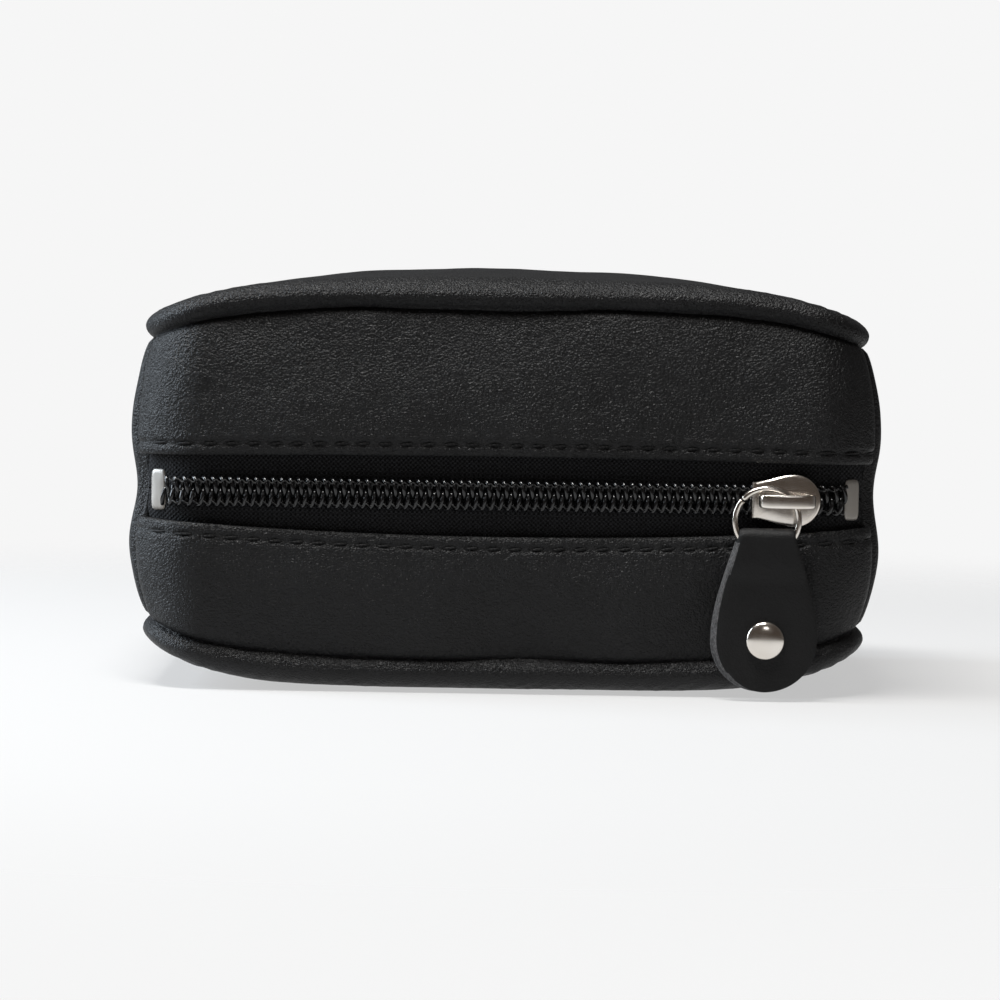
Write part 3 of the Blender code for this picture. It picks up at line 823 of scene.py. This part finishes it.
def ring(nickel):
    """A jump ring of round wire, with its two cut ends nearly touching at the top left."""
    centre = (RING_LOW + RING_HIGH) / 2
    radius = (RING_HIGH.x - RING_LOW.x) / 2 - WIRE
    gap = radians(2.5)
    start = radians(140.0)
    steps = 96
    path = []
    for index in range(steps + 1):
        angle = start + gap / 2 + (2 * pi - gap) * index / steps
        path.append((centre.x + radius * cos(angle), centre.y, centre.z + radius * sin(angle)))
    tube("jump_ring", path, WIRE, nickel, "ring", ["pull_ring"], sides=18)


def tab_width(z):
    """Half-width of the strap at a height: a neck at the ring, a round lobe at the rivet."""
    if z >= TAB_LOBE_Z:
        part = (TAB_HIGH.z - z) / (TAB_HIGH.z - TAB_LOBE_Z)
        return TAB_NECK + (TAB_LOBE - TAB_NECK) * sin(pi / 2 * part) ** 1.25
    return sqrt(max(TAB_LOBE**2 - (TAB_LOBE_Z - z) ** 2, 0.0))


def tab_leaf(side):
    """One leaf from the fold's top down to the tip, as (y, z) points; side is -1 for the front leaf."""
    leaf = []
    for step in range(9):
        angle = pi / 2 * step / 8
        leaf.append((TAB_MIDDLE.y + side * TAB_FOLD * sin(angle), TAB_FOLD_Z + TAB_FOLD * cos(angle)))
    steps = 60
    eye_z = RING_LOW.z + WIRE
    for step in range(1, steps + 1):
        z = TAB_FOLD_Z + (TAB_LOW.z - TAB_FOLD_Z) * sin(pi / 2 * step / steps)
        opening = smooth((z - eye_z + 5.5) / 4.5)
        pinch = 0.10 * gauss(z - TAB_LOBE_Z, 4.0)
        closed = TAB_LEAF / 2 + TAB_GAP
        apart = closed - pinch + (TAB_FOLD - closed) * opening
        curl = 0.0016 * max(TAB_LOBE_Z + 4.0 - z, 0.0) ** 2  # away from the purse towards the tip
        leaf.append((TAB_MIDDLE.y + side * apart - curl, z))
    return leaf


def tab(leather, raw_edge):
    """One strap folded over the ring: two leaves with a raw edge, pressed together by the rivet."""
    strap = list(reversed(tab_leaf(-1))) + tab_leaf(1)[1:]
    columns = 34
    points = []
    for layer in (-1, 1):
        for index, (y, z) in enumerate(strap):
            behind, ahead = neighbours(strap, index)
            along = (ahead - behind).normalized()
            normal = Vector((0.0, -along.y, along.x)) * layer * TAB_LEAF / 2
            wide = max(tab_width(z), 0.02)
            step_out = 0.75 * max(index / len(strap) - 0.5, 0.0)  # the back leaf shows past the front one
            for column in range(columns + 1):
                across = sin(pi / 2 * (2 * column / columns - 1))
                eased = 1 - 0.35 * max(across, 0.0) ** 24 - 0.75 * max(-across, 0.0) ** 18
                dent = soft((across * 9.0, y * 3.0, z), 5.0, 0.10)
                x = TAB_MIDDLE.x + wide * across - step_out * (1 - across)
                points.append(Vector((x, y + dent, z)) + normal * eased)
    rows = len(strap)
    width = columns + 1
    faces = grid_faces(rows, width)
    offset = rows * width
    faces += [tuple(offset + i for i in face) for face in faces]
    for row in range(rows - 1):
        for column in (0, columns):
            low = row * width + column
            faces.append((low, low + width, offset + low + width, offset + low))
    for column in range(columns):
        for row in (0, rows - 1):
            low = row * width + column
            faces.append((low, low + 1, offset + low + 1, offset + low))
    piece = add_mesh("pull_strap", points, faces, leather, "tab", ["pull_tab"])
    piece.data.materials.append(raw_edge)
    for polygon in piece.data.polygons:
        at = polygon.center / MM
        reach = abs(at.x - TAB_MIDDLE.x) / tab_width(max(at.z, TAB_LOW.z + 0.1))
        turned_out = polygon.normal.x < -0.22 or polygon.normal.x > 0.6 or polygon.normal.z < -0.7
        if turned_out and at.z < TAB_HIGH.z - 2.5 and reach > 0.9:
            polygon.material_index = 1


def turned(name, profile, x, z, nickel, replaced, sides=48):
    """A turned piece about a line along Y, its profile given as (radius, y) from axis to axis."""
    points = []
    for radius, y in profile:
        least = max(radius, 0.001)
        points += [(x + least * cos(angle), y, z + least * sin(angle)) for angle in circle(sides)]
    return add_mesh(name, points, rod_faces(len(profile), sides), nickel, "tab", replaced)


def rivet(nickel):
    """The cap with its post, and the flat back that the post is set in."""
    middle = (CAP_LOW + CAP_HIGH) / 2
    radius = (CAP_HIGH.x - CAP_LOW.x) / 2
    post = 1.2
    front = CAP_LOW.y
    seat = front + 1.45
    rim = seat - 0.35
    dome = []
    for step in range(15):
        angle = pi / 2 * step / 14
        dome.append((radius * sin(angle), rim - (rim - front) * cos(angle) ** 0.9))
    dome += [(radius - 0.02, seat - 0.15), (radius - 0.2, seat)]
    dome += [(post, seat), (post, CAP_HIGH.y), (0.0, CAP_HIGH.y)]
    turned("rivet_dome", dome, middle.x, middle.z, nickel, ["rivet_cap"])
    low, high = box_mm("rivet_back")
    inside = low.y - 0.1
    flat = [(0.0, high.y), (1.9, high.y), (2.4, high.y - 0.12), (2.6, high.y - 0.3)]
    flat += [(2.6, inside), (0.0, inside)]
    turned("rivet_base", flat, middle.x, middle.z, nickel, ["rivet_back"])


# Studio


def floor():
    """A pale floor that glows faintly and fades into the surround a little way out."""
    fade_from = 0.14
    fade_to = 0.32
    bpy.ops.mesh.primitive_plane_add(size=2.0, location=(0.0, 0.0, -0.0002))
    ground = bpy.context.object
    ground.name = "floor"
    n = Nodes("floor_white")
    n.finish(Base_Color=(0.24, 0.24, 0.24, 1.0), Roughness=0.6, Emission_Color=(1.0, 1.0, 1.0, 1.0))
    n.finish(Emission_Strength=0.51, Specular_IOR_Level=0.2)
    away = n.add("ShaderNodeVectorMath", {"operation": "LENGTH"})
    n.tree.links.new(n.place, away.inputs[0])
    fade = n.add("ShaderNodeMapRange", {"interpolation_type": "SMOOTHSTEP"})
    fade.inputs["From Min"].default_value = fade_from
    fade.inputs["From Max"].default_value = fade_to
    n.tree.links.new(away.outputs["Value"], fade.inputs["Value"])
    clear = n.add("ShaderNodeBsdfTransparent")
    mix = n.add("ShaderNodeMixShader")
    n.tree.links.new(fade.outputs["Result"], mix.inputs[0])
    n.tree.links.new(n.shader.outputs[0], mix.inputs[1])
    n.tree.links.new(clear.outputs[0], mix.inputs[2])
    n.tree.links.new(mix.outputs[0], n.tree.nodes["Material Output"].inputs["Surface"])
    ground.data.materials.append(n.material)


def area_light(name, place_at, aim, size, power, colour):
    """A rectangular light at a place, facing a point."""
    data = bpy.data.lights.new(name, "AREA")
    data.shape = "RECTANGLE"
    data.size, data.size_y = size
    data.energy = power
    data.color = colour
    light = bpy.data.objects.new(name, data)
    light.location = place_at
    light.rotation_euler = (Vector(aim) - Vector(place_at)).to_track_quat("-Z", "Y").to_euler()
    bpy.context.scene.collection.objects.link(light)


def studio():
    """A dim surround behind a pale backdrop, with a window at the left, a softbox and a catch light."""
    world = bpy.data.worlds.new("studio")
    world.use_nodes = True
    tree = world.node_tree
    new = tree.nodes.new
    around = new("ShaderNodeTexCoord")
    split = new("ShaderNodeSeparateXYZ")
    tree.links.new(around.outputs["Generated"], split.inputs[0])
    spread = new("ShaderNodeMapRange")
    spread.inputs["From Min"].default_value = -1.0
    tree.links.new(split.outputs["Y"], spread.inputs["Value"])
    ramp = new("ShaderNodeValToRGB")
    tree.links.new(spread.outputs["Result"], ramp.inputs["Fac"])
    front, back = ramp.color_ramp.elements
    front.position, front.color = 0.2, (0.060, 0.047, 0.038, 1.0)
    back.position, back.color = 0.9, (0.14, 0.14, 0.14, 1.0)
    backdrop = new("ShaderNodeBackground")
    backdrop.inputs["Color"].default_value = (0.922, 0.922, 0.922, 1.0)
    sight = new("ShaderNodeLightPath")
    mix = new("ShaderNodeMixShader")
    tree.links.new(ramp.outputs["Color"], tree.nodes["Background"].inputs["Color"])
    tree.links.new(sight.outputs["Is Camera Ray"], mix.inputs[0])
    tree.links.new(tree.nodes["Background"].outputs[0], mix.inputs[1])
    tree.links.new(backdrop.outputs[0], mix.inputs[2])
    tree.links.new(mix.outputs[0], tree.nodes["World Output"].inputs["Surface"])
    bpy.context.scene.world = world
    bpy.context.scene.view_settings.view_transform = "Standard"
    purse = (0.0, 0.0, 0.03)
    area_light("window", (-0.60, 0.05, 0.28), purse, (0.30, 0.45), 6.6, (0.80, 0.90, 1.0))
    area_light("catch", (0.10, -0.60, 0.34), purse, (0.10, 0.10), 0.14, (1.0, 1.0, 1.0))
    area_light("softbox", (-0.10, -0.14, 0.60), purse, (0.34, 0.12), 5.2, (1.0, 0.99, 0.97))


def camera():
    """Low and square to the zip face, tilted about a degree."""
    distance = 0.62
    seen_width = 0.16  # at the purse's front
    rise = radians(3.5)
    tilt = radians(0.9)
    sensor = 36.0
    data = bpy.data.cameras.new("camera")
    view = bpy.data.objects.new("camera", data)
    bpy.context.scene.collection.objects.link(view)
    aim = Vector((-0.0008, -0.034, 0.0312))
    view.location = aim + Vector((0.0, -cos(rise), sin(rise))) * distance
    turn = (aim - view.location).to_track_quat("-Z", "Y").to_matrix().to_4x4()
    view.matrix_world = Matrix.Translation(view.location) @ turn @ Matrix.Rotation(tilt, 4, "Z")
    data.lens = sensor * distance / seen_width
    data.sensor_width = sensor
    data.clip_start = 0.01
    bpy.context.scene.camera = view


def main():
    """Builds everything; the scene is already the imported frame."""
    leather = leather_material("cowhide", (0.0042, 0.0042, 0.0047))
    strap = leather_material("strap_leather", (0.0035, 0.0035, 0.0038), 2300.0, 0.00005, (0.5, 0.62))
    nickel = nickel_material("nickel_plate", (0.14, 0.26))
    stop_nickel = nickel_material("stop_nickel", (0.38, 0.5), bright=0.48, metal=0.45)
    thread = thread_material("sewing_thread", 0.010)
    camera()
    floor()
    studio()
    leather_body(leather)
    tapes(weave_material("tape_weave", (0.011, 0.011, 0.012), 0.00075))
    coils(nylon_material(), thread_material("coil_thread", 0.045))
    stitches(1, "upper", thread)
    stitches(-1, "lower", thread)
    stops(stop_nickel)
    slider(nickel)
    ring(nickel)
    tab(strap, cut_edge_material())
    rivet(nickel)
    lining(weave_material("lining_weave", (0.03, 0.03, 0.033), 0.0005, 0.8, 0.5))


main()
